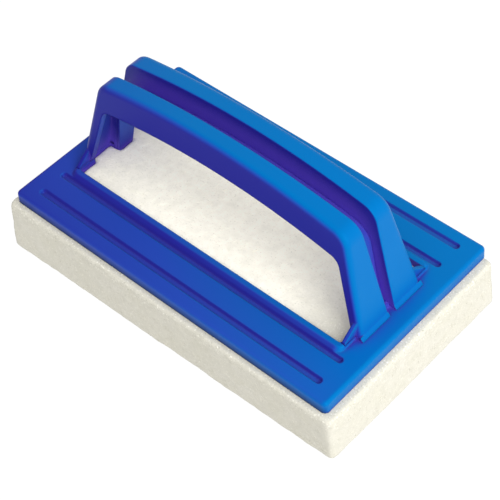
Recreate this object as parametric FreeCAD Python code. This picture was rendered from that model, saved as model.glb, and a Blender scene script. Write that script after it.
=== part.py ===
"""Grout float: a blue plastic pad holder with a double-rail handle, on a thick scouring pad.

X runs along the float, Y across it and Z up. The origin is the centre of the pad's scouring
face, so the float stands on Z = 0. Sizes are in millimetres.
"""
import math
import os

import FreeCAD
import Part

# Scouring pad. Its soft top swells up into the window of the holder.
PAD_LENGTH = 150.0
PAD_WIDTH = 88.5
PAD_THICKNESS = 23.5
PAD_CORNER_RADIUS = 2.0
PAD_EDGE_RADIUS = 1.5
SWELL_HEIGHT = 4.4
SWELL_CLEARANCE = 0.4
SWELL_EDGE_RADIUS = 0.8

# Base frame: a flat plate with nearly upright sides and a large window.
FRAME_LENGTH = 143.4
FRAME_WIDTH = 83.7
FRAME_THICKNESS = 4.8
FRAME_SIDE_SLOPE = 0.15
FRAME_CORNER_RADIUS = 1.9
FRAME_TOP_ROUNDING = 1.3
WINDOW_LENGTH = 120.8
WINDOW_WIDTH = 41.5
WINDOW_CORNER_RADIUS = 1.2

# Raised rim round the window.
RIM_HEIGHT = 1.3
RIM_TOP_WIDTH = 1.9
RIM_SLOPE_WIDTH = 1.5
RIM_END_WIDTH = 1.4
RIM_END_SLOPE_WIDTH = 0.5
RIM_ROUNDING = 0.7

# Two grooves along each long bar.
GROOVE_LENGTH = 129.8
GROOVE_DEPTH = 1.1
GROOVE_BOTTOM_SHARE = 0.45
GROOVE_MOUTH_MARGIN = 0.2
INNER_GROOVE_OFFSET = 25.3
INNER_GROOVE_WIDTH = 2.8
OUTER_GROOVE_OFFSET = 35.5
OUTER_GROOVE_WIDTH = 3.1

# Handle: two arched rails joined by a web that is the floor of the channel between them.
HANDLE_HEIGHT = 48.3
FOOT_HALF_LENGTH = 64.5
LEG_LEAN = 0.26
CROWN_RADIUS = 290.0
SHOULDER_RADIUS = 7.0
LIP_HEIGHT = 37.5
LIP_FOOT_HALF_LENGTH = 60.6
LIP_LEAN = 0.3
LIP_SHOULDER_RADIUS = 4.5
RAIL_TOP_OUTER = 10.0
RAIL_DRAFT = 0.127
CHANNEL_TOP_HALF_WIDTH = 3.75
CHANNEL_DRAFT = 0.05
SKIN_THICKNESS = 2.0
SIDE_WALL_THICKNESS = 2.5
CHANNEL_WALL_THICKNESS = 1.9
RAIL_OUTER_EDGE_RADIUS = 2.2
RAIL_INNER_EDGE_RADIUS = 0.4
RAIL_FOOT_DROP = 2.3
WEB_HEIGHT = 37.7
WEB_FOOT_HALF_LENGTH = 57.6
WEB_LEAN = 0.22
WEB_SHOULDER_RADIUS = 8.0
WEB_THICKNESS = 1.3
FOOT_FILLET = 0.8
FOOT_FILLET_DEPTH = 1.0
GUSSET_HEIGHT = 5.2
GUSSET_THICKNESS = 1.6
GUSSET_SINK = 0.6

# Hook tape under the frame, let into shallow pockets.
TAPE_THICKNESS = 1.0
TAPE_CORNER_RADIUS = 1.5
POCKET_CLEARANCE = 0.2
LONG_TAPE_LENGTH = 116.0
LONG_TAPE_WIDTH = 15.0
SHORT_TAPE_LENGTH = 34.0
SHORT_TAPE_WIDTH = 6.0
LONG_TAPE_OFFSET = 31.5
SHORT_TAPE_OFFSET = 67.2

# How far cutting blocks run past the faces they cut, and joining ones into each other.
CUT_MARGIN = 1.0
JOIN_OVERLAP = 0.2

# A groove's end is just short of a half circle, which leaves it a short straight edge.
GROOVE_END_SHARE = 0.499

# An edge runs across when this share of its length is in Y.
ACROSS_SHARE = 0.9
PLANE_TOLERANCE = 1e-4

# Levels and sizes worked out from the driving dimensions.
FRAME_TOP = PAD_THICKNESS + FRAME_THICKNESS
RIM_TOP = FRAME_TOP + RIM_HEIGHT
HANDLE_TOP = PAD_THICKNESS + HANDLE_HEIGHT
RAIL_FOOT = PAD_THICKNESS + RAIL_FOOT_DROP
HOLLOW_FOOT = PAD_THICKNESS - CUT_MARGIN
UP = FreeCAD.Vector(0, 0, 1)


def vector(x, y, z):
    return FreeCAD.Vector(x, y, z)


def rounded_rectangle(length, width, radius, z):
    """A closed wire at height z, centred on the Z axis, with rounded corners."""
    half_x = length / 2
    half_y = width / 2
    edges = []
    centres = [(1, 1, 0), (-1, 1, 90), (-1, -1, 180), (1, -1, 270)]
    ends = []
    for sign_x, sign_y, start in centres:
        centre = vector(sign_x * (half_x - radius), sign_y * (half_y - radius), z)
        arc = Part.makeCircle(radius, centre, UP, start, start + 90)
        ends.append((arc, arc.valueAt(arc.FirstParameter), arc.valueAt(arc.LastParameter)))
    for index, (arc, first, last) in enumerate(ends):
        following = ends[(index + 1) % len(ends)]
        edges.append(arc)
        edges.append(Part.makeLine(last, following[1]))
    return Part.Wire(edges)


def rounded_block(length, width, radius, bottom, height):
    face = Part.Face(rounded_rectangle(length, width, radius, bottom))
    return face.extrude(vector(0, 0, height))


def tapered_block(bottom_wire, top_wire):
    return Part.makeLoft([bottom_wire, top_wire], True, True)


def edges_at_height(shape, z):
    """The edges of a shape that lie in the plane at height z."""
    found = []
    for edge in shape.Edges:
        box = edge.BoundBox
        if abs(box.ZMin - z) < PLANE_TOLERANCE and abs(box.ZMax - z) < PLANE_TOLERANCE:
            found.append(edge)
    return found


def mirrored_in_y(shape):
    return shape.mirror(vector(0, 0, 0), vector(0, 1, 0))


def pad():
    """The scouring pad: a block with softened edges that swells up into the window."""
    block = rounded_block(PAD_LENGTH, PAD_WIDTH, PAD_CORNER_RADIUS, 0, PAD_THICKNESS)
    softened = edges_at_height(block, 0) + edges_at_height(block, PAD_THICKNESS)
    block = block.makeFillet(PAD_EDGE_RADIUS, softened)
    return block.fuse(pad_swell()).removeSplitter()


def pad_swell():
    """The part of the pad inside the window, clear of the holder's walls and the web's feet."""
    root = PAD_THICKNESS - CUT_MARGIN
    top = PAD_THICKNESS + SWELL_HEIGHT
    swell = window_hole(SWELL_CLEARANCE, root, top - root)
    foot_half_width = channel_half_width(RAIL_FOOT) + CHANNEL_WALL_THICKNESS + SWELL_CLEARANCE
    inner_x = WEB_FOOT_HALF_LENGTH - SWELL_CLEARANCE
    foot_room = Part.makeBox(PAD_LENGTH, 2 * foot_half_width, top,
                             vector(inner_x, -foot_half_width, PAD_THICKNESS))
    swell = swell.cut(foot_room).cut(foot_room.mirror(vector(0, 0, 0), vector(1, 0, 0)))
    return swell.makeFillet(SWELL_EDGE_RADIUS, edges_at_height(swell, top))


def window_hole(inset, bottom, height):
    """The window's opening, with the places where the hollow of each leg runs on through."""
    hole = rounded_block(WINDOW_LENGTH - 2 * inset, WINDOW_WIDTH - 2 * inset,
                         WINDOW_CORNER_RADIUS, bottom, height)
    outer_x = FOOT_HALF_LENGTH - SKIN_THICKNESS * math.hypot(1, LEG_LEAN) - inset
    low_y = channel_half_width(FRAME_TOP) + CHANNEL_WALL_THICKNESS + inset
    high_y = rail_outer_y(FRAME_TOP) - SIDE_WALL_THICKNESS - inset
    notch = Part.makeBox(2 * outer_x, high_y - low_y, height, vector(-outer_x, low_y, bottom))
    return hole.fuse(notch).fuse(mirrored_in_y(notch)).removeSplitter()


def frame_plate():
    """The plate with its slightly sloping sides and rounded upper edge."""
    inset = 2 * FRAME_SIDE_SLOPE
    bottom = rounded_rectangle(FRAME_LENGTH, FRAME_WIDTH, FRAME_CORNER_RADIUS, PAD_THICKNESS)
    top = rounded_rectangle(FRAME_LENGTH - inset, FRAME_WIDTH - inset,
                            FRAME_CORNER_RADIUS - FRAME_SIDE_SLOPE, FRAME_TOP)
    plate = tapered_block(bottom, top)
    return plate.makeFillet(FRAME_TOP_ROUNDING, edges_at_height(plate, FRAME_TOP))


def window_rim():
    """The raised rim, as a solid island that the window is later cut through."""
    top_length = WINDOW_LENGTH + 2 * RIM_END_WIDTH
    top_width = WINDOW_WIDTH + 2 * RIM_TOP_WIDTH
    top_radius = WINDOW_CORNER_RADIUS + RIM_END_WIDTH
    bottom = rounded_rectangle(top_length + 2 * RIM_END_SLOPE_WIDTH,
                               top_width + 2 * RIM_SLOPE_WIDTH,
                               top_radius + RIM_END_SLOPE_WIDTH, FRAME_TOP)
    top = rounded_rectangle(top_length, top_width, top_radius, RIM_TOP)
    island = tapered_block(bottom, top)
    return island.makeFillet(RIM_ROUNDING, edges_at_height(island, RIM_TOP))


def groove(offset, width):
    """One round-ended groove, narrower at its bottom, at Y = offset."""
    mouth = FRAME_TOP + GROOVE_MOUTH_MARGIN
    bottom = FRAME_TOP - GROOVE_DEPTH
    narrow = width * GROOVE_BOTTOM_SHARE
    shorter = GROOVE_LENGTH - (width - narrow)
    low = rounded_rectangle(shorter, narrow, narrow * GROOVE_END_SHARE, bottom)
    high = rounded_rectangle(GROOVE_LENGTH, width, width * GROOVE_END_SHARE, mouth)
    cutter = tapered_block(low, high)
    cutter.translate(vector(0, offset, 0))
    return cutter


def tape_block(length, width, x, y, clearance):
    block = rounded_block(length + 2 * clearance, width + 2 * clearance,
                          TAPE_CORNER_RADIUS, PAD_THICKNESS, TAPE_THICKNESS)
    block.translate(vector(x, y, 0))
    return block


def tape_blocks(clearance):
    """The hook tapes by name, grown sideways by the clearance."""
    long_size = (LONG_TAPE_LENGTH, LONG_TAPE_WIDTH)
    short_size = (SHORT_TAPE_WIDTH, SHORT_TAPE_LENGTH)
    return {
        "hook_tape_front": tape_block(*long_size, 0, -LONG_TAPE_OFFSET, clearance),
        "hook_tape_rear": tape_block(*long_size, 0, LONG_TAPE_OFFSET, clearance),
        "hook_tape_left": tape_block(*short_size, -SHORT_TAPE_OFFSET, 0, clearance),
        "hook_tape_right": tape_block(*short_size, SHORT_TAPE_OFFSET, 0, clearance),
    }


def arch_region(crown_z, foot_half, lean, crown_radius, shoulder_radius, base_z):
    """The face in the XZ plane under an arch: leaning legs, round shoulders, a shallow crown.

    foot_half is where the legs' lines cross the frame's top, so the region's own foot, at
    base_z, is wider or narrower than that by the lean.
    """
    crown_centre_z = crown_z - crown_radius
    slant = math.hypot(1, lean)
    normal_x = 1 / slant
    normal_z = lean / slant
    # The shoulder's centre lies one radius inside both the leg's line and the crown's circle.
    line_x = foot_half - shoulder_radius * slant
    line_z = FRAME_TOP - crown_centre_z
    reach = crown_radius - shoulder_radius
    line_start = line_x + lean * line_z
    square_root = math.sqrt(reach ** 2 * slant ** 2 - line_start ** 2)
    centre_rise = (lean * line_start + square_root) / slant ** 2
    centre_x = line_start - lean * centre_rise
    centre_z = crown_centre_z + centre_rise
    leg_end = (centre_x + shoulder_radius * normal_x, centre_z + shoulder_radius * normal_z)
    crown_end = (centre_x * crown_radius / reach,
                 crown_centre_z + centre_rise * crown_radius / reach)
    middle_angle = (math.atan2(normal_z, normal_x) + math.atan2(centre_rise, centre_x)) / 2
    shoulder_middle = (centre_x + shoulder_radius * math.cos(middle_angle),
                       centre_z + shoulder_radius * math.sin(middle_angle))
    foot_x = foot_half + lean * (FRAME_TOP - base_z)

    def point(pair, side):
        return vector(side * pair[0], 0, pair[1])

    right_foot = vector(foot_x, 0, base_z)
    left_foot = vector(-foot_x, 0, base_z)
    edges = [
        Part.makeLine(right_foot, point(leg_end, 1)),
        Part.Arc(point(leg_end, 1), point(shoulder_middle, 1), point(crown_end, 1)).toShape(),
        Part.Arc(point(crown_end, 1), vector(0, 0, crown_z), point(crown_end, -1)).toShape(),
        Part.Arc(point(crown_end, -1), point(shoulder_middle, -1), point(leg_end, -1)).toShape(),
        Part.makeLine(point(leg_end, -1), left_foot),
        Part.makeLine(left_foot, right_foot),
    ]
    return Part.Face(Part.Wire(edges))


def arch_block(face):
    """An arch region made solid across the whole width of the handle."""
    depth = FRAME_WIDTH
    block = face.extrude(vector(0, depth, 0))
    block.translate(vector(0, -depth / 2, 0))
    return block


def outer_arch(inset, base_z):
    """The arch under the handle's outer surface, set in by an even thickness."""
    foot_half = FOOT_HALF_LENGTH - inset * math.hypot(1, LEG_LEAN)
    face = arch_region(HANDLE_TOP - inset, foot_half, LEG_LEAN, CROWN_RADIUS - inset,
                       SHOULDER_RADIUS - inset, base_z)
    return arch_block(face)


def lip_arch(base_z):
    """The arch under the lower lips of the rails, where the fingers go."""
    face = arch_region(PAD_THICKNESS + LIP_HEIGHT, LIP_FOOT_HALF_LENGTH, LIP_LEAN,
                       CROWN_RADIUS, LIP_SHOULDER_RADIUS, base_z)
    return arch_block(face)


def web_arch(raise_by, base_z):
    """The arch under the web, or under its upper face when raised by its thickness."""
    foot_half = WEB_FOOT_HALF_LENGTH + raise_by * math.hypot(1, WEB_LEAN)
    face = arch_region(PAD_THICKNESS + WEB_HEIGHT + raise_by, foot_half, WEB_LEAN,
                       CROWN_RADIUS + raise_by, WEB_SHOULDER_RADIUS + raise_by, base_z)
    return arch_block(face)


def rail_outer_y(z):
    return RAIL_TOP_OUTER + RAIL_DRAFT * (HANDLE_TOP - z)


def channel_half_width(z):
    return CHANNEL_TOP_HALF_WIDTH - CHANNEL_DRAFT * (HANDLE_TOP - z)


def drafted_slab(low_z, high_z, inner_low, inner_high, outer_low, outer_high):
    """A long slab on the +Y side whose two faces are drafted in Z."""
    corners = [(inner_low, low_z), (outer_low, low_z), (outer_high, high_z),
               (inner_high, high_z), (inner_low, low_z)]
    wire = Part.makePolygon([vector(-PAD_LENGTH / 2, y, z) for y, z in corners])
    return Part.Face(wire).extrude(vector(PAD_LENGTH, 0, 0))


def rail_slab(inner_margin, outer_margin, low_z):
    """The rail's range in Y, narrowed by a margin on its channel side and its outer side."""
    high_z = HANDLE_TOP + CUT_MARGIN
    return drafted_slab(low_z, high_z,
                        channel_half_width(low_z) + inner_margin,
                        channel_half_width(high_z) + inner_margin,
                        rail_outer_y(low_z) - outer_margin,
                        rail_outer_y(high_z) - outer_margin)


def rail_edges(body, outer):
    """The long edges of the solid arch, apart from its foot, on its outer or channel side."""
    found = []
    for edge in body.Edges:
        runs_across = edge.BoundBox.YLength > ACROSS_SHARE * edge.Length
        at_foot = edge.BoundBox.ZMax < RAIL_FOOT + PLANE_TOLERANCE
        middle = edge.valueAt((edge.FirstParameter + edge.LastParameter) / 2)
        rail_middle = (channel_half_width(middle.z) + rail_outer_y(middle.z)) / 2
        if not runs_across and not at_foot and (middle.y > rail_middle) == outer:
            found.append(edge)
    return found


def gusset(side):
    """The small web that runs down from a leg to the corner of the window."""
    foot_y = WINDOW_WIDTH / 2
    head_y = rail_outer_y(RIM_TOP) - SIDE_WALL_THICKNESS / 2
    low_z = RIM_TOP - GUSSET_SINK
    inner_x = WINDOW_LENGTH / 2
    corners = [(head_y, low_z), (foot_y, low_z), (foot_y, RIM_TOP),
               (head_y, RIM_TOP + GUSSET_HEIGHT), (head_y, low_z)]
    wire = Part.makePolygon([vector(inner_x, y, z) for y, z in corners])
    block = Part.Face(wire).extrude(vector(GUSSET_THICKNESS, 0, 0))
    if side < 0:
        block = block.mirror(vector(0, 0, 0), vector(1, 0, 0))
    return block


def foot_fillet(side):
    """The small wedge where a leg's outer surface meets the frame."""
    low_y = channel_half_width(FRAME_TOP)
    high_y = rail_outer_y(FRAME_TOP)
    low_z = FRAME_TOP - JOIN_OVERLAP
    inner_x = FOOT_HALF_LENGTH - FOOT_FILLET_DEPTH
    outer_x = FOOT_HALF_LENGTH + FOOT_FILLET
    top_x = FOOT_HALF_LENGTH - LEG_LEAN * 2 * FOOT_FILLET
    corners = [(inner_x, low_z), (outer_x, low_z), (outer_x, FRAME_TOP),
               (top_x, FRAME_TOP + 2 * FOOT_FILLET), (inner_x, low_z)]
    wire = Part.makePolygon([vector(side * x, low_y, z) for x, z in corners])
    return Part.Face(wire).extrude(vector(0, high_y - low_y, 0))


def rear_rail(frame):
    """One arched rail on the +Y side: a channel section, open underneath."""
    body = outer_arch(0, RAIL_FOOT).common(rail_slab(0, 0, RAIL_FOOT))
    body = body.makeFillet(RAIL_OUTER_EDGE_RADIUS, rail_edges(body, True))
    body = body.makeFillet(RAIL_INNER_EDGE_RADIUS, rail_edges(body, False))
    channel_wall = body.common(rail_slab(0, 0, RAIL_FOOT).cut(
        rail_slab(CHANNEL_WALL_THICKNESS, 0, HOLLOW_FOOT)))
    channel_wall = channel_wall.cut(web_arch(WEB_THICKNESS, HOLLOW_FOOT))
    shell = body.cut(rail_slab(0, 0, HOLLOW_FOOT).cut(
        rail_slab(CHANNEL_WALL_THICKNESS, 0, HOLLOW_FOOT)))
    shell = shell.cut(lip_arch(HOLLOW_FOOT))
    hollow = outer_arch(SKIN_THICKNESS, HOLLOW_FOOT).common(
        rail_slab(CHANNEL_WALL_THICKNESS, SIDE_WALL_THICKNESS, HOLLOW_FOOT))
    shell = shell.cut(hollow)
    rail = shell.fuse(channel_wall)
    for side in (-1, 1):
        rail = rail.fuse(gusset(side)).fuse(foot_fillet(side))
    return rail.cut(frame).removeSplitter()


def handle_web(frame, rails):
    """The floor of the channel between the rails, ending in a block at each foot."""
    high_z = HANDLE_TOP + CUT_MARGIN
    half_slab = drafted_slab(RAIL_FOOT, high_z, 0, 0,
                             channel_half_width(RAIL_FOOT) + CHANNEL_WALL_THICKNESS,
                             channel_half_width(high_z) + CHANNEL_WALL_THICKNESS)
    slab = half_slab.fuse(mirrored_in_y(half_slab))
    web = web_arch(WEB_THICKNESS, RAIL_FOOT).cut(web_arch(0, HOLLOW_FOOT)).common(slab)
    foot_half_width = channel_half_width(FRAME_TOP)
    inner_x = WEB_FOOT_HALF_LENGTH + WEB_THICKNESS / 2
    foot_length = WINDOW_LENGTH / 2 - inner_x
    for side in (-1, 1):
        block = Part.makeBox(foot_length, 2 * foot_half_width, FRAME_TOP - RAIL_FOOT,
                             vector(inner_x, -foot_half_width, RAIL_FOOT))
        if side < 0:
            block = block.mirror(vector(0, 0, 0), vector(1, 0, 0))
        web = web.fuse(block)
    for other in [frame] + rails:
        web = web.cut(other)
    return web.removeSplitter()


def base_frame():
    """The plate with its rim, window, grooves and tape pockets."""
    frame = frame_plate().fuse(window_rim())
    through = FRAME_THICKNESS + RIM_HEIGHT + 2 * CUT_MARGIN
    frame = frame.cut(window_hole(0, PAD_THICKNESS - CUT_MARGIN, through))
    for side in (-1, 1):
        frame = frame.cut(groove(side * INNER_GROOVE_OFFSET, INNER_GROOVE_WIDTH))
        frame = frame.cut(groove(side * OUTER_GROOVE_OFFSET, OUTER_GROOVE_WIDTH))
    for pocket in tape_blocks(POCKET_CLEARANCE).values():
        frame = frame.cut(pocket)
    return frame.removeSplitter()


def build():
    frame = base_frame()
    rear = rear_rail(frame)
    front = mirrored_in_y(rear)
    parts = {
        "pad": pad(),
        "base_frame": frame,
        "front_rail": front,
        "rear_rail": rear,
        "handle_web": handle_web(frame, [front, rear]),
    }
    parts.update(tape_blocks(0))
    os.makedirs("parts", exist_ok=True)
    for name, shape in parts.items():
        solid = shape.Solids[0] if len(shape.Solids) == 1 else shape
        print(name, "solids", len(shape.Solids), "valid", solid.isValid(),
              "volume", round(solid.Volume, 1))
        solid.exportStep("parts/" + name + ".step")


build()
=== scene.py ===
"""Looks for the grout float: blue moulded plastic, a nonwoven scouring pad and hook tapes.

Everything is in metres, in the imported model's frame: X along the float, Y across it, Z up,
with the pad's scouring face on Z = 0.
"""

import math

import bpy
import numpy as np
from mathutils import Matrix, Vector, noise
from mathutils.bvhtree import BVHTree


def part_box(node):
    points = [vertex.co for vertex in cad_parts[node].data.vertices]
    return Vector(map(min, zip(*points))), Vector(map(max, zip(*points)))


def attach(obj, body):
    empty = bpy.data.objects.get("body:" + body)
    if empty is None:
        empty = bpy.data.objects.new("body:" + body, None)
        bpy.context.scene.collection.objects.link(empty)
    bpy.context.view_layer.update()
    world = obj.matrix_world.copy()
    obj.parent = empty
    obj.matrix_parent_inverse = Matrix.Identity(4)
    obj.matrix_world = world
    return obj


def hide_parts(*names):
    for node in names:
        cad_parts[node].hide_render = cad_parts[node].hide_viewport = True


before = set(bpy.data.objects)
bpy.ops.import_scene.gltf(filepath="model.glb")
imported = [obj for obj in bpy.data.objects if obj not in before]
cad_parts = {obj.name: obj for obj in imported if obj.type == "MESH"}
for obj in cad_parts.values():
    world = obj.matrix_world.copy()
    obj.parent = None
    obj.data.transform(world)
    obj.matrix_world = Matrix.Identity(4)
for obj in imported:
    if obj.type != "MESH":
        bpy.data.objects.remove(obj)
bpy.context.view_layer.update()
plate_low, plate_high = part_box("base_frame")
plate_foot = plate_low.z

MM = 0.001
SEED = 20

# Camera, as angles round the object in degrees and distances in metres.
CAMERA_AZIMUTH = 46.129
CAMERA_ELEVATION = 49.635
CAMERA_ROLL = -5.369
CAMERA_DISTANCE = 0.51604
CAMERA_TARGET_SHIFT = (0.00815, -0.00660)
CAMERA_LENS = 108.892
SENSOR_WIDTH = 36.0
CLIP_START = 0.01

# Light: a large soft source on the right, and a sky that is brighter above and on the right.
KEY_DIRECTION = Vector((0.79, -0.16, 0.59)).normalized()
KEY_DISTANCE = 0.80
KEY_SIZE = 0.60
KEY_POWER = 5.0
SKY_DIRECTION = Vector((0.50, -0.20, 0.84)).normalized()
SKY_DARK_SIDE = 0.40
SKY_BRIGHT_SIDE = 1.12

# Floor. It lies a hair under the pad, so that the two faces don't coincide.
FLOOR_HALF_SIZE = 6.0
FLOOR_DROP = 0.05 * MM
FLOOR_DARK = (0.09, 0.09, 0.09)
FLOOR_LIGHT = (0.11, 0.11, 0.11)
FLOOR_GLOW = 0.92
WHITE = (1.0, 1.0, 1.0)

# Painted light and shade: the plastic is painted from violet, as shade, to azure, as light, on
# faces that lean this way, and further along, back and up. A face's lean along X counts for
# more towards the right end. Shares are per metre.
AZURE_LEAN = (0.65, 0.30, 0.50)
AZURE_LEAN_PER_METRE = 3.0
AZURE_PER_METRE = (2.2, 5.0, 7.0)
AZURE_REFERENCE = (0.0, 0.0, 0.028)
AZURE_RANGE = (0.06, 0.72)
SHADE_TO_LIGHT_STOPS = ((0.0, (0.016, 0.010, 0.24)), (0.4, (0.016, 0.050, 0.36)),
               (0.7, (0.001, 0.104, 0.39)), (1.0, (0.0, 0.130, 0.39)))

# Painted shade and light in the plastic's hollows, found by ambient occlusion: recesses lose
# the painted azure and are painted a brighter violet as light scattered through the plastic,
# and narrow crevices are painted dark as shade.
RECESS_REACH = 14 * MM
RECESS_OPEN = (0.30, 0.90)
RECESS_SHUT = (0.50, 0.12)
RECESS_PAINTED_LIGHT_COLOUR = (0.150, 0.080, 0.62)
CREVICE_REACH = 2 * MM
CREVICE_SHUT = (0.94, 0.70)
CREVICE_SHADE_COLOUR = (0.030, 0.024, 0.26)
CREVICE_MOST = 0.9
RIGHT_FACING = (0.10, 0.60)

# Painted light and shadow on the plate's long sides: they are painted a fixed share of azure
# light, down to a painted contact shadow, a dark line at their foot.
SKIRT_REACH = 1.6 * MM
SKIRT_PAINTED_LIGHT = 0.66
CONTACT_SHADOW_HEIGHT = 3.4 * MM
CONTACT_SHADOW_COLOUR = (0.010, 0.018, 0.10)

# Slow flow marks from moulding, a painted highlight on the edges, ripple and grain of the
# plastic.
FLOW_STRETCH = (0.35, 1.0, 1.0)
FLOW_MOST = 0.08
FLOW_COLOUR = (0.002, 0.07, 0.28)
EDGE_RADIUS = 0.8 * MM
EDGE_AGREEMENT = (0.995, 0.80)
EDGE_HIGHLIGHT_MOST = 0.55
EDGE_HIGHLIGHT_COLOUR = (0.0, 0.21, 0.46)
PLASTIC_ROUGHNESS = (0.36, 0.46)
PLASTIC_GLOSS = 0.16
PLASTIC_GLOSS_TINT = (0.05, 0.62, 1.0)

# Where noise is taken to begin and end when it is spread over a full range.
NOISE_SPREAD = (0.3, 0.7)

# A noise is its scale per metre, its detail and, where it isn't 0.5, its roughness.
FLOW_NOISE = (45.0, 3.0)
RIPPLE_NOISE = (130.0, 1.0)
GRAIN_NOISE = (2600.0, 2.0, 0.6)
CLOUD_NOISE = (90.0, 3.0)
CLUMP_NOISE = (320.0, 4.0, 0.6)
SPECK_NOISE = (1500.0, 2.0, 0.55)
THREAD_NOISE = (2600.0, 3.0, 0.7)
YELLOWING_NOISE = (160.0, 2.0)
TOOTH_NOISE = (900.0, 2.0)

# A relief is a strength and a depth.
RIPPLE_RELIEF = (0.12, 0.3 * MM)
GRAIN_RELIEF = (0.10, 0.05 * MM)
CLUMP_RELIEF = (0.3, 0.4 * MM)
THREAD_RELIEF = (0.45, 0.15 * MM)
WEAVE_RELIEF = (0.3, 0.1 * MM)

# Pad fibre: its tones, its painted light and glow where it rises into the window, the painted
# shade in the window's corners, and its specks.
BODY_TONE = (0.60, 0.58, 0.51)
STRAND_TONE = (0.66, 0.64, 0.56)
WARMING = (0.97, 0.97, 0.94)
WINDOW_PAINTED_LIGHT_TONE = (0.90, 0.87, 0.75)
CORNER_SHADE_TONE = (0.25, 0.245, 0.21)
CLUMP_TONE = (0.42, 0.41, 0.34)
DARK_SPECK = (0.30, 0.31, 0.24)
LIGHT_SPECK = (0.90, 0.88, 0.80)
PAINTED_GLOW_TONE = (1.0, 0.97, 0.86)
PAINTED_GLOW_STRENGTH = 0.13
# Spans of noise, and the shares of a tone that they turn into.
CLUMP_SHARES = (0.40, 0.66, 0.0, 0.18)
DARK_SPECK_SHARES = (0.60, 0.76, 0.0, 0.8)
LIGHT_SPECK_SHARES = (0.41, 0.26, 0.0, 0.9)
WINDOW_RISE_FROM = 0.3 * MM
WINDOW_RISE_FULLY = 2.5 * MM
WINDOW_END_SHADE = (32 * MM, 60 * MM)
WINDOW_SIDE_SHADE = (2 * MM, 20 * MM)
WINDOW_SHADE_LEFT = 0.35
WINDOW_SHADE_RIGHT = 1.0
WINDOW_SPECK_SHARE = 0.55
FRAYED_FROM = 5 * MM
FRAYED_FULLY = 1 * MM
UNFRAYED_SPECK_SHARE = 0.4

# Pad. Its sides lean and spread past these still shares of its half length and width.
PAD_VOXEL = 0.8 * MM
PAD_SMOOTHING = 3
PAD_STILL_SHARE_X = 0.84
PAD_STILL_SHARE_Y = 0.50
PAD_LEFT_TOP = 1.3 * MM
PAD_LEFT_FOOT = -0.8 * MM
PAD_RIGHT_SKEW = 0.5 * MM
PAD_REAR_TOP = 3.2 * MM
PAD_REAR_FOOT = 0.5 * MM
PAD_FRONT_FOOT = 0.4 * MM
PAD_FRONT_SKEW = 1.4 * MM
PLATE_REACH = 0.4 * MM
PLATE_GAP = 0.1 * MM

# Relief of the pad's surface, as scales per metre and depths in millimetres.
WAVE_SCALE = 45.0
WAVE_DEPTH = 0.16
TUFT_SCALE = 260.0
TUFT_DEPTH = 0.16
RIDGE_SCALE = 620.0
RIDGE_DEPTH = 0.08
RIDGE_OFFSET = Vector((7.0, 3.0, 5.0))

# Loose fibres on the pad.
FIBRE_COUNT = 4200
FIBRE_RADIUS = 0.05 * MM
FIBRE_RADIUS_SHARES = (0.8, 1.3)
FIBRE_SIDES = 4
FIBRE_STEP = 0.7 * MM
FIBRE_STEPS = 6
FIBRE_RISE = 0.10 * MM
FIBRE_RISE_SHARES = (0.4, 1.0)
FIBRE_CLIMB = 0.5 * MM
FIBRE_BEND = 0.28
FIBRE_WANDER = 0.2

# Hook tapes. A hook's profile is its lean and its drop, in millimetres.
TAPE_BASE_THICKNESS = 0.42 * MM
TAPE_CORNER_RADIUS = 1.5 * MM
TAPE_CORNER_SEGMENTS = 5
TAPE_LIGHT = (0.76, 0.76, 0.72)
TAPE_YELLOWED = (0.66, 0.66, 0.60)
WEAVE_SCALE = 500.0
HOOK_PITCH = 1.5 * MM
HOOK_RADIUS = 0.09 * MM
HOOK_FOOT_SHARE = 1.5
HOOK_SIDES = 5
HOOK_PROFILE = ((0.0, 0.05), (0.02, -0.26), (0.10, -0.42), (0.24, -0.48), (0.36, -0.38))

# Skew directions, crossed with a normal or a path to find a direction across it.
ACROSS_NORMAL = Vector((0.13, 0.27, 0.95))
ACROSS_PATH = Vector((0.31, 0.52, 0.79))

PLASTIC_NODES = ("base_frame", "front_rail", "rear_rail", "handle_web")
TAPE_NODES = ("hook_tape_front", "hook_tape_rear", "hook_tape_left", "hook_tape_right")

random = np.random.default_rng(SEED)


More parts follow.
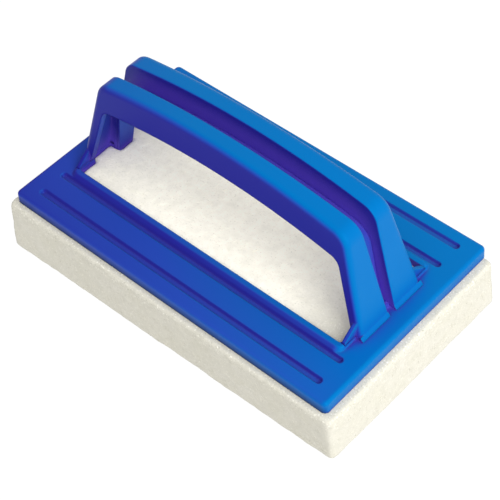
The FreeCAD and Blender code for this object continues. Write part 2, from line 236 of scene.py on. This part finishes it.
class NodeBuilder:
    """Adds shader nodes to a material and links them in one call."""

    def __init__(self, name):
        self.material = bpy.data.materials.new(name)
        self.material.use_nodes = True
        self.tree = self.material.node_tree
        self.tree.nodes.clear()
        self.output = self.tree.nodes.new("ShaderNodeOutputMaterial")
        self.position = self.add("TexCoord").outputs["Object"]

    def add(self, kind, settings=None, **inputs):
        """A node of that kind. Each input is a value, or another node's output socket."""
        node = self.tree.nodes.new("ShaderNode" + kind)
        for key, value in (settings or {}).items():
            setattr(node, key, value)
        for key, value in inputs.items():
            self.feed(node.inputs[key.replace("_", " ")], value)
        return node

    def feed(self, socket, value):
        """Links another node's output, or sets a number, a vector or a colour."""
        if isinstance(value, bpy.types.NodeSocket):
            self.tree.links.new(value, socket)
        elif socket.type == "RGBA":
            socket.default_value = (*value, 1.0)
        else:
            socket.default_value = value

    def maths(self, operation, *values):
        node = self.add("Math", {"operation": operation})
        for socket, value in zip(node.inputs, values):
            self.feed(socket, value)
        return node.outputs[0]

    def vector_maths(self, operation, first, second, output="Vector"):
        node = self.add("VectorMath", {"operation": operation})
        self.feed(node.inputs[0], first)
        self.feed(node.inputs[1], second)
        return node.outputs[output]

    def dot(self, first, second):
        return self.vector_maths("DOT_PRODUCT", first, second, "Value")

    def part(self, vector, axis):
        """One component of a vector."""
        return self.add("SeparateXYZ", Vector=vector).outputs[axis]

    def mix(self, factor, first, second):
        """A colour between two colours."""
        node = self.add("Mix", {"data_type": "RGBA"})
        self.feed(node.inputs["Factor"], factor)
        self.feed(node.inputs[6], first)
        self.feed(node.inputs[7], second)
        return node.outputs[2]

    def ramp(self, factor, stops):
        """A colour read off a row of (place, colour) stops."""
        node = self.add("ValToRGB", Fac=factor)
        elements = node.color_ramp.elements
        while len(elements) < len(stops):
            elements.new(0.5)
        for element, (place, value) in zip(elements, stops):
            element.position = place
            element.color = (*value, 1.0)
        return node.outputs["Color"]

    def remap(self, value, low, high, to_low=0.0, to_high=1.0):
        node = self.add("MapRange", Value=value, From_Min=low, From_Max=high, To_Min=to_low,
                        To_Max=to_high)
        return node.outputs["Result"]

    def openness(self, reach):
        """How much of the sky within reach a point sees, from 0 to 1."""
        return self.add("AmbientOcclusion", {"samples": 8}, Distance=reach).outputs["AO"]

    def noise(self, position, scale, detail=2.0, roughness=0.5):
        node = self.add("TexNoise", Vector=position, Scale=scale, Detail=detail,
                        Roughness=roughness)
        return node.outputs["Fac"]

    def bump(self, height, relief, **normal):
        """A surface normal tilted by a relief, on top of another normal if one is given."""
        strength, depth = relief
        node = self.add("Bump", Strength=strength, Distance=depth, Height=height, **normal)
        return node.outputs["Normal"]

    def finish(self, shader):
        self.tree.links.new(shader.outputs[0], self.output.inputs["Surface"])
        return self.material


def painted_light_share(build, normal, skirt):
    """How much painted light a face of the plastic gets, from violet shade at 0 to azure light
    at 1.
    """
    facing = build.dot(normal, AZURE_LEAN)
    off_skirt = build.maths("SUBTRACT", 1.0, skirt)
    skirt_lean = build.maths("MULTIPLY", skirt, SKIRT_PAINTED_LIGHT)
    face_lean = build.maths("MULTIPLY_ADD", facing, off_skirt, skirt_lean)
    from_reference = build.vector_maths("SUBTRACT", build.position, AZURE_REFERENCE)
    along = build.dot(from_reference, AZURE_PER_METRE)
    stronger = build.maths("MULTIPLY", build.part(build.position, "X"), AZURE_LEAN_PER_METRE)
    extra = build.maths("MULTIPLY", stronger, build.part(normal, "X"))
    turned = build.maths("ADD", build.maths("ADD", face_lean, along), extra)
    return build.remap(turned, *AZURE_RANGE)


def plastic_colour(build, normal):
    """The plastic's colour with its painted light and shade, before flow marks and the painted
    edge highlight, and how azure its painted light is.
    """
    out_from_middle = build.maths("ABSOLUTE", build.part(build.position, "Y"))
    skirt = build.remap(out_from_middle, plate_high.y - SKIRT_REACH, plate_high.y)
    openness = build.openness(RECESS_REACH)
    open_part = build.maths("MAXIMUM", build.remap(openness, *RECESS_OPEN), skirt)
    # Painted light and shade: violet stands for shade and azure for light, by how each face
    # leans.
    azure = build.maths("MULTIPLY", painted_light_share(build, normal, skirt), open_part)
    shade = build.ramp(azure, SHADE_TO_LIGHT_STOPS)
    # Painted shade: narrow crevices are painted dark, except where they face right; recesses
    # are painted a brighter violet as scattered light.
    not_right = build.remap(build.part(normal, "X"), *RIGHT_FACING, CREVICE_MOST, 0.0)
    shut = build.remap(build.openness(CREVICE_REACH), *CREVICE_SHUT)
    crevice_shaded = build.mix(build.maths("MULTIPLY", shut, not_right), shade, CREVICE_SHADE_COLOUR)
    recess_lit = build.mix(build.remap(openness, *RECESS_SHUT), crevice_shaded, RECESS_PAINTED_LIGHT_COLOUR)
    skirted = build.mix(skirt, recess_lit, shade)
    height = build.part(build.position, "Z")
    # Painted contact shadow: a dark line along the foot of the plate's long sides.
    contact_shadow = build.remap(height, plate_foot + CONTACT_SHADOW_HEIGHT, plate_foot)
    contact_shadowed = build.mix(build.maths("MULTIPLY", contact_shadow, skirt), skirted, CONTACT_SHADOW_COLOUR)
    return contact_shadowed, azure


def blue_plastic():
    """Satin moulded plastic, painted violet-blue as shade away from the light and azure as
    light towards it.
    """
    build = NodeBuilder("blue_plastic_moulded")
    soft_normal = build.add("Bevel", {"samples": 6}, Radius=EDGE_RADIUS).outputs["Normal"]
    base, azure = plastic_colour(build, soft_normal)

    stretched = build.vector_maths("MULTIPLY", build.position, FLOW_STRETCH)
    flow = build.noise(stretched, *FLOW_NOISE)
    flowed = build.mix(build.remap(flow, *NOISE_SPREAD, 0.0, FLOW_MOST), base, FLOW_COLOUR)

    # Painted highlight: the edges are painted a lighter azure, most where the plastic's
    # painted light is azure.
    true_normal = build.add("NewGeometry").outputs["Normal"]
    edge = build.remap(build.dot(soft_normal, true_normal), *EDGE_AGREEMENT)
    edge_highlight = build.maths("MULTIPLY", build.maths("MULTIPLY", edge, azure), EDGE_HIGHLIGHT_MOST)
    highlighted = build.mix(edge_highlight, flowed, EDGE_HIGHLIGHT_COLOUR)

    ripple = build.noise(build.position, *RIPPLE_NOISE)
    grain = build.noise(build.position, *GRAIN_NOISE)
    rippled = build.bump(ripple, RIPPLE_RELIEF, Normal=soft_normal)
    grained = build.bump(grain, GRAIN_RELIEF, Normal=rippled)
    shader = build.add("BsdfPrincipled", Base_Color=highlighted, IOR=1.49,
                       Roughness=build.remap(flow, *NOISE_SPREAD, *PLASTIC_ROUGHNESS),
                       Normal=grained, Specular_IOR_Level=PLASTIC_GLOSS,
                       Specular_Tint=PLASTIC_GLOSS_TINT)
    return build.finish(shader)


def window_corner_shade(build):
    """Painted shade in the corners of the window, most at its right end."""
    place_x = build.part(build.position, "X")
    place_y = build.part(build.position, "Y")
    end_part = build.remap(build.maths("ABSOLUTE", place_x), *WINDOW_END_SHADE)
    side_part = build.remap(build.maths("ABSOLUTE", place_y), *WINDOW_SIDE_SHADE)
    far_end = WINDOW_END_SHADE[1]
    right_part = build.remap(place_x, -far_end, far_end, WINDOW_SHADE_LEFT, WINDOW_SHADE_RIGHT)
    return build.maths("MULTIPLY", build.maths("MULTIPLY", end_part, side_part), right_part)


def pad_colour(build, tone, in_window, clump):
    """The fibre's colour: painted lighter where it rises into the window, with painted shade
    in the window's corners, mottled and specked.
    """
    cloud = build.noise(build.position, *CLOUD_NOISE)
    warmer = [share * warming for share, warming in zip(tone, WARMING)]
    warm = build.mix(build.remap(cloud, *NOISE_SPREAD), tone, warmer)
    # Painted light: the pad is painted lighter where it rises into the window.
    lit_window = build.mix(in_window, warm, WINDOW_PAINTED_LIGHT_TONE)
    # Painted shade in the window's corners, most at its right end.
    corner_shade = build.maths("MULTIPLY", window_corner_shade(build), in_window)
    corner_shaded = build.mix(corner_shade, lit_window, CORNER_SHADE_TONE)
    shaded = build.mix(build.remap(clump, *CLUMP_SHARES), corner_shaded, CLUMP_TONE)

    # The cut upper edge is frayed, so its specks are stronger than those in the window.
    height = build.part(build.position, "Z")
    frayed = build.remap(height, plate_foot - FRAYED_FROM, plate_foot - FRAYED_FULLY,
                         UNFRAYED_SPECK_SHARE, 1.0)
    speck_share = build.remap(in_window, 0.0, 1.0, 1.0, WINDOW_SPECK_SHARE)
    speckled = build.maths("MULTIPLY", frayed, speck_share)
    speck = build.noise(build.position, *SPECK_NOISE)
    dark = build.maths("MULTIPLY", build.remap(speck, *DARK_SPECK_SHARES), speckled)
    light = build.maths("MULTIPLY", build.remap(speck, *LIGHT_SPECK_SHARES), speckled)
    return build.mix(light, build.mix(dark, shaded, DARK_SPECK), LIGHT_SPECK)


def pad_fibre(name, tone):
    """Warm white nonwoven fibre, with a painted glow where it rises into the window that lifts
    the window's shade.
    """
    build = NodeBuilder(name)
    height = build.part(build.position, "Z")
    in_window = build.remap(height, plate_foot + WINDOW_RISE_FROM, plate_foot + WINDOW_RISE_FULLY)
    clump = build.noise(build.position, *CLUMP_NOISE)
    thread = build.noise(build.position, *THREAD_NOISE)
    clumped = build.bump(clump, CLUMP_RELIEF)
    threaded = build.bump(thread, THREAD_RELIEF, Normal=clumped)
    # The emission is a painted glow that lifts the shade in the window.
    shader = build.add("BsdfPrincipled", Base_Color=pad_colour(build, tone, in_window, clump),
                       Roughness=0.95, Normal=threaded, Specular_IOR_Level=0.15,
                       Emission_Color=PAINTED_GLOW_TONE,
                       Emission_Strength=build.remap(in_window, 0.0, 1.0, 0.0, PAINTED_GLOW_STRENGTH),
                       Sheen_Weight=0.04, Sheen_Roughness=0.6)
    return build.finish(shader)


def tape_plastic():
    """Matt off-white nylon, slightly yellowed, with a faint woven ground."""
    build = NodeBuilder("hook_tape_nylon")
    cloud = build.noise(build.position, *YELLOWING_NOISE)
    stripes = [build.add("TexWave", {"bands_direction": axis}, Vector=build.position,
                         Scale=WEAVE_SCALE).outputs["Fac"] for axis in ("X", "Y")]
    weave = build.maths("MAXIMUM", *stripes)
    base = build.mix(build.remap(cloud, *NOISE_SPREAD), TAPE_LIGHT, TAPE_YELLOWED)
    shader = build.add("BsdfPrincipled", Base_Color=base, Roughness=0.6,
                       Normal=build.bump(weave, WEAVE_RELIEF))
    return build.finish(shader)


def floor_paper():
    """Bright white paper that stays pale in the object's shadow."""
    build = NodeBuilder("floor_paper")
    tooth = build.noise(build.position, *TOOTH_NOISE)
    shader = build.add("BsdfPrincipled", Base_Color=build.mix(tooth, FLOOR_DARK, FLOOR_LIGHT),
                       Roughness=1.0, Specular_IOR_Level=0.0, Emission_Color=WHITE,
                       Emission_Strength=FLOOR_GLOW)
    return build.finish(shader)


def new_object(name, mesh, material):
    piece = bpy.data.objects.new(name, mesh)
    bpy.context.scene.collection.objects.link(piece)
    mesh.materials.append(material)
    return piece


def mesh_from(name, vertices, faces, smooth=True):
    mesh = bpy.data.meshes.new(name)
    mesh.from_pydata(vertices, [], faces)
    mesh.validate()
    mesh.polygons.foreach_set("use_smooth", [smooth] * len(mesh.polygons))
    return mesh


def remeshed(solid, voxel):
    """The solid's surface again in even quads, smoothed a little, with no material."""
    mesh = solid.data.copy()
    mesh.transform(solid.matrix_world)
    source = bpy.data.objects.new("remesh_source", mesh)
    bpy.context.scene.collection.objects.link(source)
    remesh = source.modifiers.new("Remesh", "REMESH")
    remesh.mode = "VOXEL"
    remesh.voxel_size = voxel
    smooth = source.modifiers.new("Smooth", "SMOOTH")
    smooth.iterations = PAD_SMOOTHING
    graph = bpy.context.evaluated_depsgraph_get()
    result = bpy.data.meshes.new_from_object(source.evaluated_get(graph))
    result.materials.clear()
    bpy.data.objects.remove(source)
    return result


def beyond(share, start):
    """How far a share is past start, as 0 to 1, with its sign kept."""
    past = max(abs(share) - start, 0.0) / (1.0 - start)
    return math.copysign(past, share)


def settled(point, low, high):
    """Where a point of the die-cut block ends up once the soft block has leant and spread."""
    rise = min((point.z - low.z) / (plate_foot - low.z), 1.0)
    centre = (low + high) / 2
    side_x = (point.x - centre.x) / (high.x - centre.x)
    side_y = (point.y - centre.y) / (high.y - centre.y)
    edge_x = beyond(side_x, PAD_STILL_SHARE_X)
    edge_y = beyond(side_y, PAD_STILL_SHARE_Y)
    moved = point.copy()
    if side_x < 0:
        moved.x -= edge_x * (PAD_LEFT_FOOT + (PAD_LEFT_TOP - PAD_LEFT_FOOT) * rise)
    else:
        moved.x += edge_x * PAD_RIGHT_SKEW * side_y * (1 - rise)
    if side_y > 0:
        moved.y -= edge_y * (PAD_REAR_FOOT + (PAD_REAR_TOP - PAD_REAR_FOOT) * rise)
    else:
        moved.y -= edge_y * (PAD_FRONT_FOOT + PAD_FRONT_SKEW * side_x) * (1 - rise)
    return moved


def pad_relief(point):
    """How far the pad's surface stands off its solid, from the lay of its fibres."""
    wave = noise.noise(point * WAVE_SCALE)
    tuft = noise.noise(point * TUFT_SCALE)
    ridge = 1.0 - abs(noise.noise(point * RIDGE_SCALE + RIDGE_OFFSET)) * 2.0
    return (WAVE_DEPTH * wave + TUFT_DEPTH * tuft + RIDGE_DEPTH * ridge) * MM


def pad_body(low, high, material):
    """The block of fibre, die cut, with a lofty uneven surface."""
    mesh = remeshed(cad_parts["pad"], PAD_VOXEL)
    positions = np.zeros(len(mesh.vertices) * 3)
    mesh.vertices.foreach_get("co", positions)
    positions = positions.reshape(-1, 3)
    normals = np.array([vertex.normal for vertex in mesh.vertices])
    relief = np.array([pad_relief(Vector(point)) for point in positions])
    positions = np.array([settled(Vector(point), low, high) for point in positions])
    positions += normals * relief[:, None]
    under_plate = positions[:, 2] < plate_foot + PLATE_REACH
    positions[under_plate, 2] = np.clip(positions[under_plate, 2], low.z,
                                        plate_foot - PLATE_GAP)
    mesh.vertices.foreach_set("co", positions.ravel())
    mesh.polygons.foreach_set("use_smooth", [True] * len(mesh.polygons))
    mesh.update()
    mesh.name = "pad_body"
    return new_object("pad_body", mesh, material)


def tube_rings(points, radii, sides, first_index):
    """Vertices and faces of a closed thin tube along a short path."""
    vertices = []
    faces = []
    count = len(points)
    for index, point in enumerate(points):
        before = points[max(index - 1, 0)]
        after = points[min(index + 1, count - 1)]
        forward = (after - before).normalized()
        across = forward.cross(ACROSS_PATH).normalized()
        over = forward.cross(across)
        for corner in range(sides):
            angle = 2 * math.pi * corner / sides
            offset = across * math.cos(angle) + over * math.sin(angle)
            vertices.append(point + offset * radii[index])
    for index in range(count - 1):
        near = first_index + index * sides
        far = near + sides
        for corner in range(sides):
            following = (corner + 1) % sides
            faces.append((near + corner, near + following, far + following, far + corner))
    last = first_index + (count - 1) * sides
    faces.append(tuple(first_index + corner for corner in reversed(range(sides))))
    faces.append(tuple(last + corner for corner in range(sides)))
    return vertices, faces


def fibre_path(surface, start, normal, turn, low):
    """A fibre that walks over the surface, rising from it and going back in."""
    across = normal.cross(ACROSS_NORMAL).normalized()
    direction = Matrix.Rotation(turn, 3, normal) @ across
    bend = random.normal(0.0, FIBRE_BEND)
    rise = FIBRE_RISE * random.uniform(*FIBRE_RISE_SHARES)
    point = start
    top = start.z + FIBRE_CLIMB
    if start.z < plate_foot:
        top = plate_foot - FIBRE_RADIUS
    path = []
    for step in range(FIBRE_STEPS):
        share = step / (FIBRE_STEPS - 1)
        height = -FIBRE_RADIUS + rise * math.sin(math.pi * share)
        lifted = point + normal * height
        lifted.z = min(max(lifted.z, low.z + FIBRE_RADIUS), top)
        path.append(lifted)
        angle = bend + random.normal(0.0, FIBRE_WANDER)
        direction = Matrix.Rotation(angle, 3, normal) @ direction
        found, normal, _, _ = surface.find_nearest(point + direction * FIBRE_STEP)
        direction = (found - point).normalized()
        point = found
    return path


def pad_fibres(body, low, material):
    """Loose fibres all over the pad, each one fixed into it at both ends."""
    mesh = body.data
    areas = np.zeros(len(mesh.polygons))
    mesh.polygons.foreach_get("area", areas)
    chosen = random.choice(len(areas), FIBRE_COUNT, p=areas / areas.sum())
    surface = BVHTree.FromPolygons([vertex.co for vertex in mesh.vertices],
                                   [tuple(face.vertices) for face in mesh.polygons])
    vertices = []
    faces = []
    for face_index in chosen:
        face = mesh.polygons[face_index]
        turn = random.uniform(0.0, 2 * math.pi)
        path = fibre_path(surface, face.center.copy(), face.normal.copy(), turn, low)
        radii = [FIBRE_RADIUS * random.uniform(*FIBRE_RADIUS_SHARES)] * len(path)
        more_vertices, more_faces = tube_rings(path, radii, FIBRE_SIDES, len(vertices))
        vertices.extend(more_vertices)
        faces.extend(more_faces)
    return new_object("pad_fibres", mesh_from("pad_fibres", vertices, faces), material)


def rounded_outline(low, high):
    """The corners of a tape in plan, with its own corners rounded."""
    points = []
    for sign_x, sign_y, start in ((1, 1, 0), (-1, 1, 1), (-1, -1, 2), (1, -1, 3)):
        corner_x = (high.x if sign_x > 0 else low.x) - sign_x * TAPE_CORNER_RADIUS
        corner_y = (high.y if sign_y > 0 else low.y) - sign_y * TAPE_CORNER_RADIUS
        for step in range(TAPE_CORNER_SEGMENTS + 1):
            angle = (start + step / TAPE_CORNER_SEGMENTS) * math.pi / 2
            points.append((corner_x + TAPE_CORNER_RADIUS * math.cos(angle),
                           corner_y + TAPE_CORNER_RADIUS * math.sin(angle)))
    return points


def hook_path(foot, lean):
    """One hook of the tape, hanging down and curling over towards lean."""
    return [foot + Vector((lean * x * MM, 0.0, z * MM)) for x, z in HOOK_PROFILE]


def hook_feet(low, high, base_bottom):
    """The foot of each hook, and the way it leans: odd rows one way, even rows the other."""
    columns = int((high.x - low.x - HOOK_PITCH) / HOOK_PITCH)
    rows = int((high.y - low.y - HOOK_PITCH) / HOOK_PITCH)
    centre = (low + high) / 2
    for column in range(columns):
        for row in range(rows):
            x = centre.x + (column - (columns - 1) / 2) * HOOK_PITCH
            y = centre.y + (row - (rows - 1) / 2) * HOOK_PITCH
            yield Vector((x, y, base_bottom)), 1 if row % 2 else -1


def hook_tape(name, material):
    """A strip of moulded tape with rows of small hooks facing the pad."""
    low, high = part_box(name)
    outline = rounded_outline(low, high)
    base_bottom = high.z - TAPE_BASE_THICKNESS
    count = len(outline)
    vertices = [Vector((x, y, base_bottom)) for x, y in outline]
    vertices += [Vector((x, y, high.z)) for x, y in outline]
    faces = [tuple(reversed(range(count))), tuple(range(count, 2 * count))]
    for index in range(count):
        following = (index + 1) % count
        faces.append((index, following, following + count, index + count))
    for foot, lean in hook_feet(low, high, base_bottom):
        path = hook_path(foot, lean)
        radii = [HOOK_RADIUS * HOOK_FOOT_SHARE] + [HOOK_RADIUS] * (len(path) - 1)
        more_vertices, more_faces = tube_rings(path, radii, HOOK_SIDES, len(vertices))
        vertices.extend(more_vertices)
        faces.extend(more_faces)
    piece = new_object(name + "_detail", mesh_from(name + "_detail", vertices, faces, False),
                       material)
    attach(piece, "holder")
    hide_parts(name)


def make_camera():
    azimuth = math.radians(CAMERA_AZIMUTH)
    elevation = math.radians(CAMERA_ELEVATION)
    roll = math.radians(CAMERA_ROLL)
    back = Vector((math.sin(azimuth) * math.cos(elevation),
                   -math.cos(azimuth) * math.cos(elevation), math.sin(elevation)))
    right = (-back).cross(Vector((0, 0, 1))).normalized()
    up = right.cross(-back)
    rolled_right = right * math.cos(roll) + up * math.sin(roll)
    rolled_up = up * math.cos(roll) - right * math.sin(roll)
    target = Vector((*CAMERA_TARGET_SHIFT, plate_foot))
    rotation = Matrix((rolled_right, rolled_up, back)).transposed().to_4x4()
    camera_data = bpy.data.cameras.new("camera")
    camera_data.lens = CAMERA_LENS
    camera_data.sensor_width = SENSOR_WIDTH
    camera_data.clip_start = CLIP_START
    camera = bpy.data.objects.new("camera", camera_data)
    camera.matrix_world = Matrix.Translation(target + back * CAMERA_DISTANCE) @ rotation
    bpy.context.scene.collection.objects.link(camera)
    bpy.context.scene.camera = camera


def make_key_light():
    key_data = bpy.data.lights.new("key", "AREA")
    key_data.shape = "DISK"
    key_data.size = KEY_SIZE
    key_data.energy = KEY_POWER
    key = bpy.data.objects.new("key", key_data)
    key.location = KEY_DIRECTION * KEY_DISTANCE
    key.rotation_mode = "QUATERNION"
    key.rotation_quaternion = KEY_DIRECTION.to_track_quat("Z", "Y")
    bpy.context.scene.collection.objects.link(key)


def make_sky():
    """A white sky whose strength falls evenly from its bright side to its dark side."""
    world = bpy.data.worlds.new("sky")
    world.use_nodes = True
    nodes = world.node_tree.nodes
    links = world.node_tree.links
    background = nodes["Background"]
    background.inputs["Color"].default_value = (*WHITE, 1.0)
    direction = nodes.new("ShaderNodeTexCoord")
    towards = nodes.new("ShaderNodeVectorMath")
    towards.operation = "DOT_PRODUCT"
    towards.inputs[1].default_value = SKY_DIRECTION
    strength = nodes.new("ShaderNodeMapRange")
    strength.inputs["From Min"].default_value = -1.0
    strength.inputs["To Min"].default_value = SKY_DARK_SIDE
    strength.inputs["To Max"].default_value = SKY_BRIGHT_SIDE
    links.new(direction.outputs["Generated"], towards.inputs[0])
    links.new(towards.outputs["Value"], strength.inputs["Value"])
    links.new(strength.outputs["Result"], background.inputs["Strength"])
    bpy.context.scene.world = world
    bpy.context.scene.view_settings.view_transform = "Standard"


def make_floor():
    corners = [(-1, -1), (1, -1), (1, 1), (-1, 1)]
    vertices = [(x * FLOOR_HALF_SIZE, y * FLOOR_HALF_SIZE, -FLOOR_DROP) for x, y in corners]
    floor = new_object("floor", mesh_from("floor", vertices, [(0, 1, 2, 3)]), floor_paper())


def dress_plastic():
    material = blue_plastic()
    for name in PLASTIC_NODES:
        for material_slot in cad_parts[name].material_slots:
            material_slot.material = material


def make_pad():
    low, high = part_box("pad")
    body = pad_body(low, high, pad_fibre("pad_fibre_body", BODY_TONE))
    fibres = pad_fibres(body, low, pad_fibre("pad_fibre_strands", STRAND_TONE))
    for piece in (body, fibres):
        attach(piece, "pad")
    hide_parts("pad")


def make_tapes():
    material = tape_plastic()
    for name in TAPE_NODES:
        hook_tape(name, material)


make_camera()
make_key_light()
make_sky()
make_floor()
dress_plastic()
make_pad()
make_tapes()
